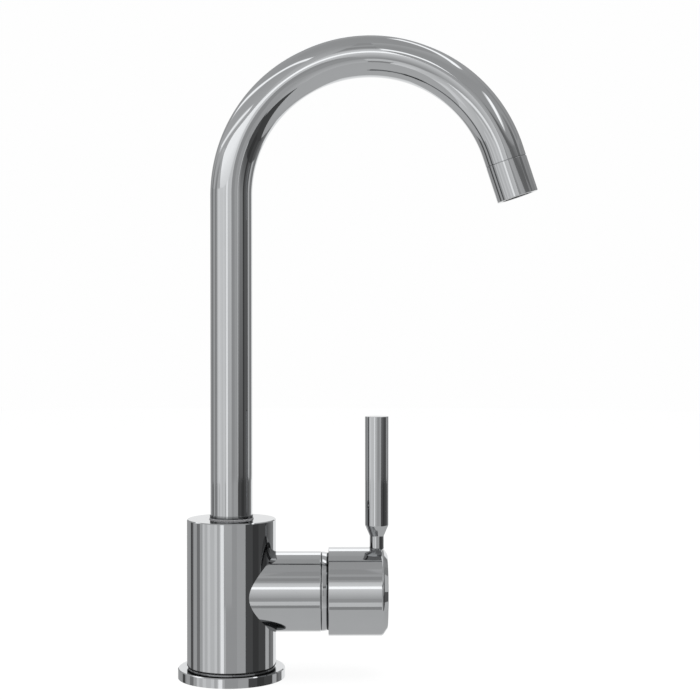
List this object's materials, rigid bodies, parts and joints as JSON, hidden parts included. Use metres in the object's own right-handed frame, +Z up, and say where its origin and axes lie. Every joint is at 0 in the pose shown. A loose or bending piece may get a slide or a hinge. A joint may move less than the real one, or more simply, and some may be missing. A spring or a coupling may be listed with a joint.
{
  "type": "three way filtered water tap",
  "caption": "Gooseneck kitchen mixer tap with a side lever for hot, cold and filtered water, a swivelling spout with a separate filtered line, and a round deck flange.",
  "frame": {"origin": "centre of the base's underside, on the axis of the fixing stud, the body and the spout's swivel", "axes": "+Z up along the body and the spout's riser; +X towards the lever and the spout's mouth"},
  "size_m": [0.2021, 0.06, 0.3602],
  "materials": {
    "polished_chrome": "polished",
    "spigot_plating": "polished",
    "machined_brass": "satin",
    "stainless_steel": "satin",
    "black_rubber": "matte",
    "white_ceramic": "satin",
    "cartridge_plastic": "matte",
    "slip_plastic": "satin",
    "hose_plastic": "satin",
    "plug_plastic": "gloss"
  },
  "bodies": {
    "body": {"main_body": "polished_chrome", "base_flange": "polished_chrome", "flange_o_ring": "black_rubber", "deck_gasket": "black_rubber", "cartridge_base": "cartridge_plastic", "cartridge_o_ring": "black_rubber", "port_seals": "black_rubber", "fixed_disc": "white_ceramic", "cartridge_housing": "cartridge_plastic", "cartridge_nut": "machined_brass", "dome_cover": "polished_chrome", "filter_nipple": "machined_brass", "nipple_o_ring": "black_rubber", "spout_grub_screw": "stainless_steel"},
    "spout": {"spout_spigot": "spigot_plating", "spout_o_rings": "black_rubber", "slip_ring": "slip_plastic", "spout_tube": "polished_chrome", "hose_ferrule": "machined_brass", "filtered_hose": "hose_plastic", "tip_adapter": "machined_brass", "aerator_housing": "polished_chrome", "aerator_seal": "black_rubber", "aerator_insert": "cartridge_plastic", "aerator_screen": "stainless_steel"},
    "turner": {"turning_sleeve": "cartridge_plastic", "pivot_pin": "stainless_steel"},
    "slider": {"disc_carrier": "cartridge_plastic", "moving_disc": "white_ceramic"},
    "handle": {"lever_stem": "machined_brass", "handle_cap": "polished_chrome", "lever_stick": "polished_chrome", "handle_grub_screw": "stainless_steel", "screw_plug": "plug_plastic"}
  },
  "joints": [
    {"name": "spout_swivel", "type": "hinge", "parent": "body", "child": "spout", "pos_m": [0, 0, 0.0775], "axis": [0, 0, 1], "continuous": true},
    {"name": "lever_turn", "type": "hinge", "parent": "body", "child": "turner", "pos_m": [0.0457, 0, 0.0478], "axis": [1, 0, 0], "range_deg": [-50, 50]},
    {"name": "lever_lift", "type": "hinge", "parent": "turner", "child": "handle", "pos_m": [0.048, 0, 0.0478], "axis": [0, 1, 0], "range_deg": [0, 15]},
    {"name": "disc_slide", "type": "slide", "parent": "turner", "child": "slider", "axis": [0, 0, 1], "range_m": [0, 0.0032]}
  ],
  "couplings": [
    {"joint": "disc_slide", "follows": "lever_lift", "m_per_rad": 0.012}
  ]
}
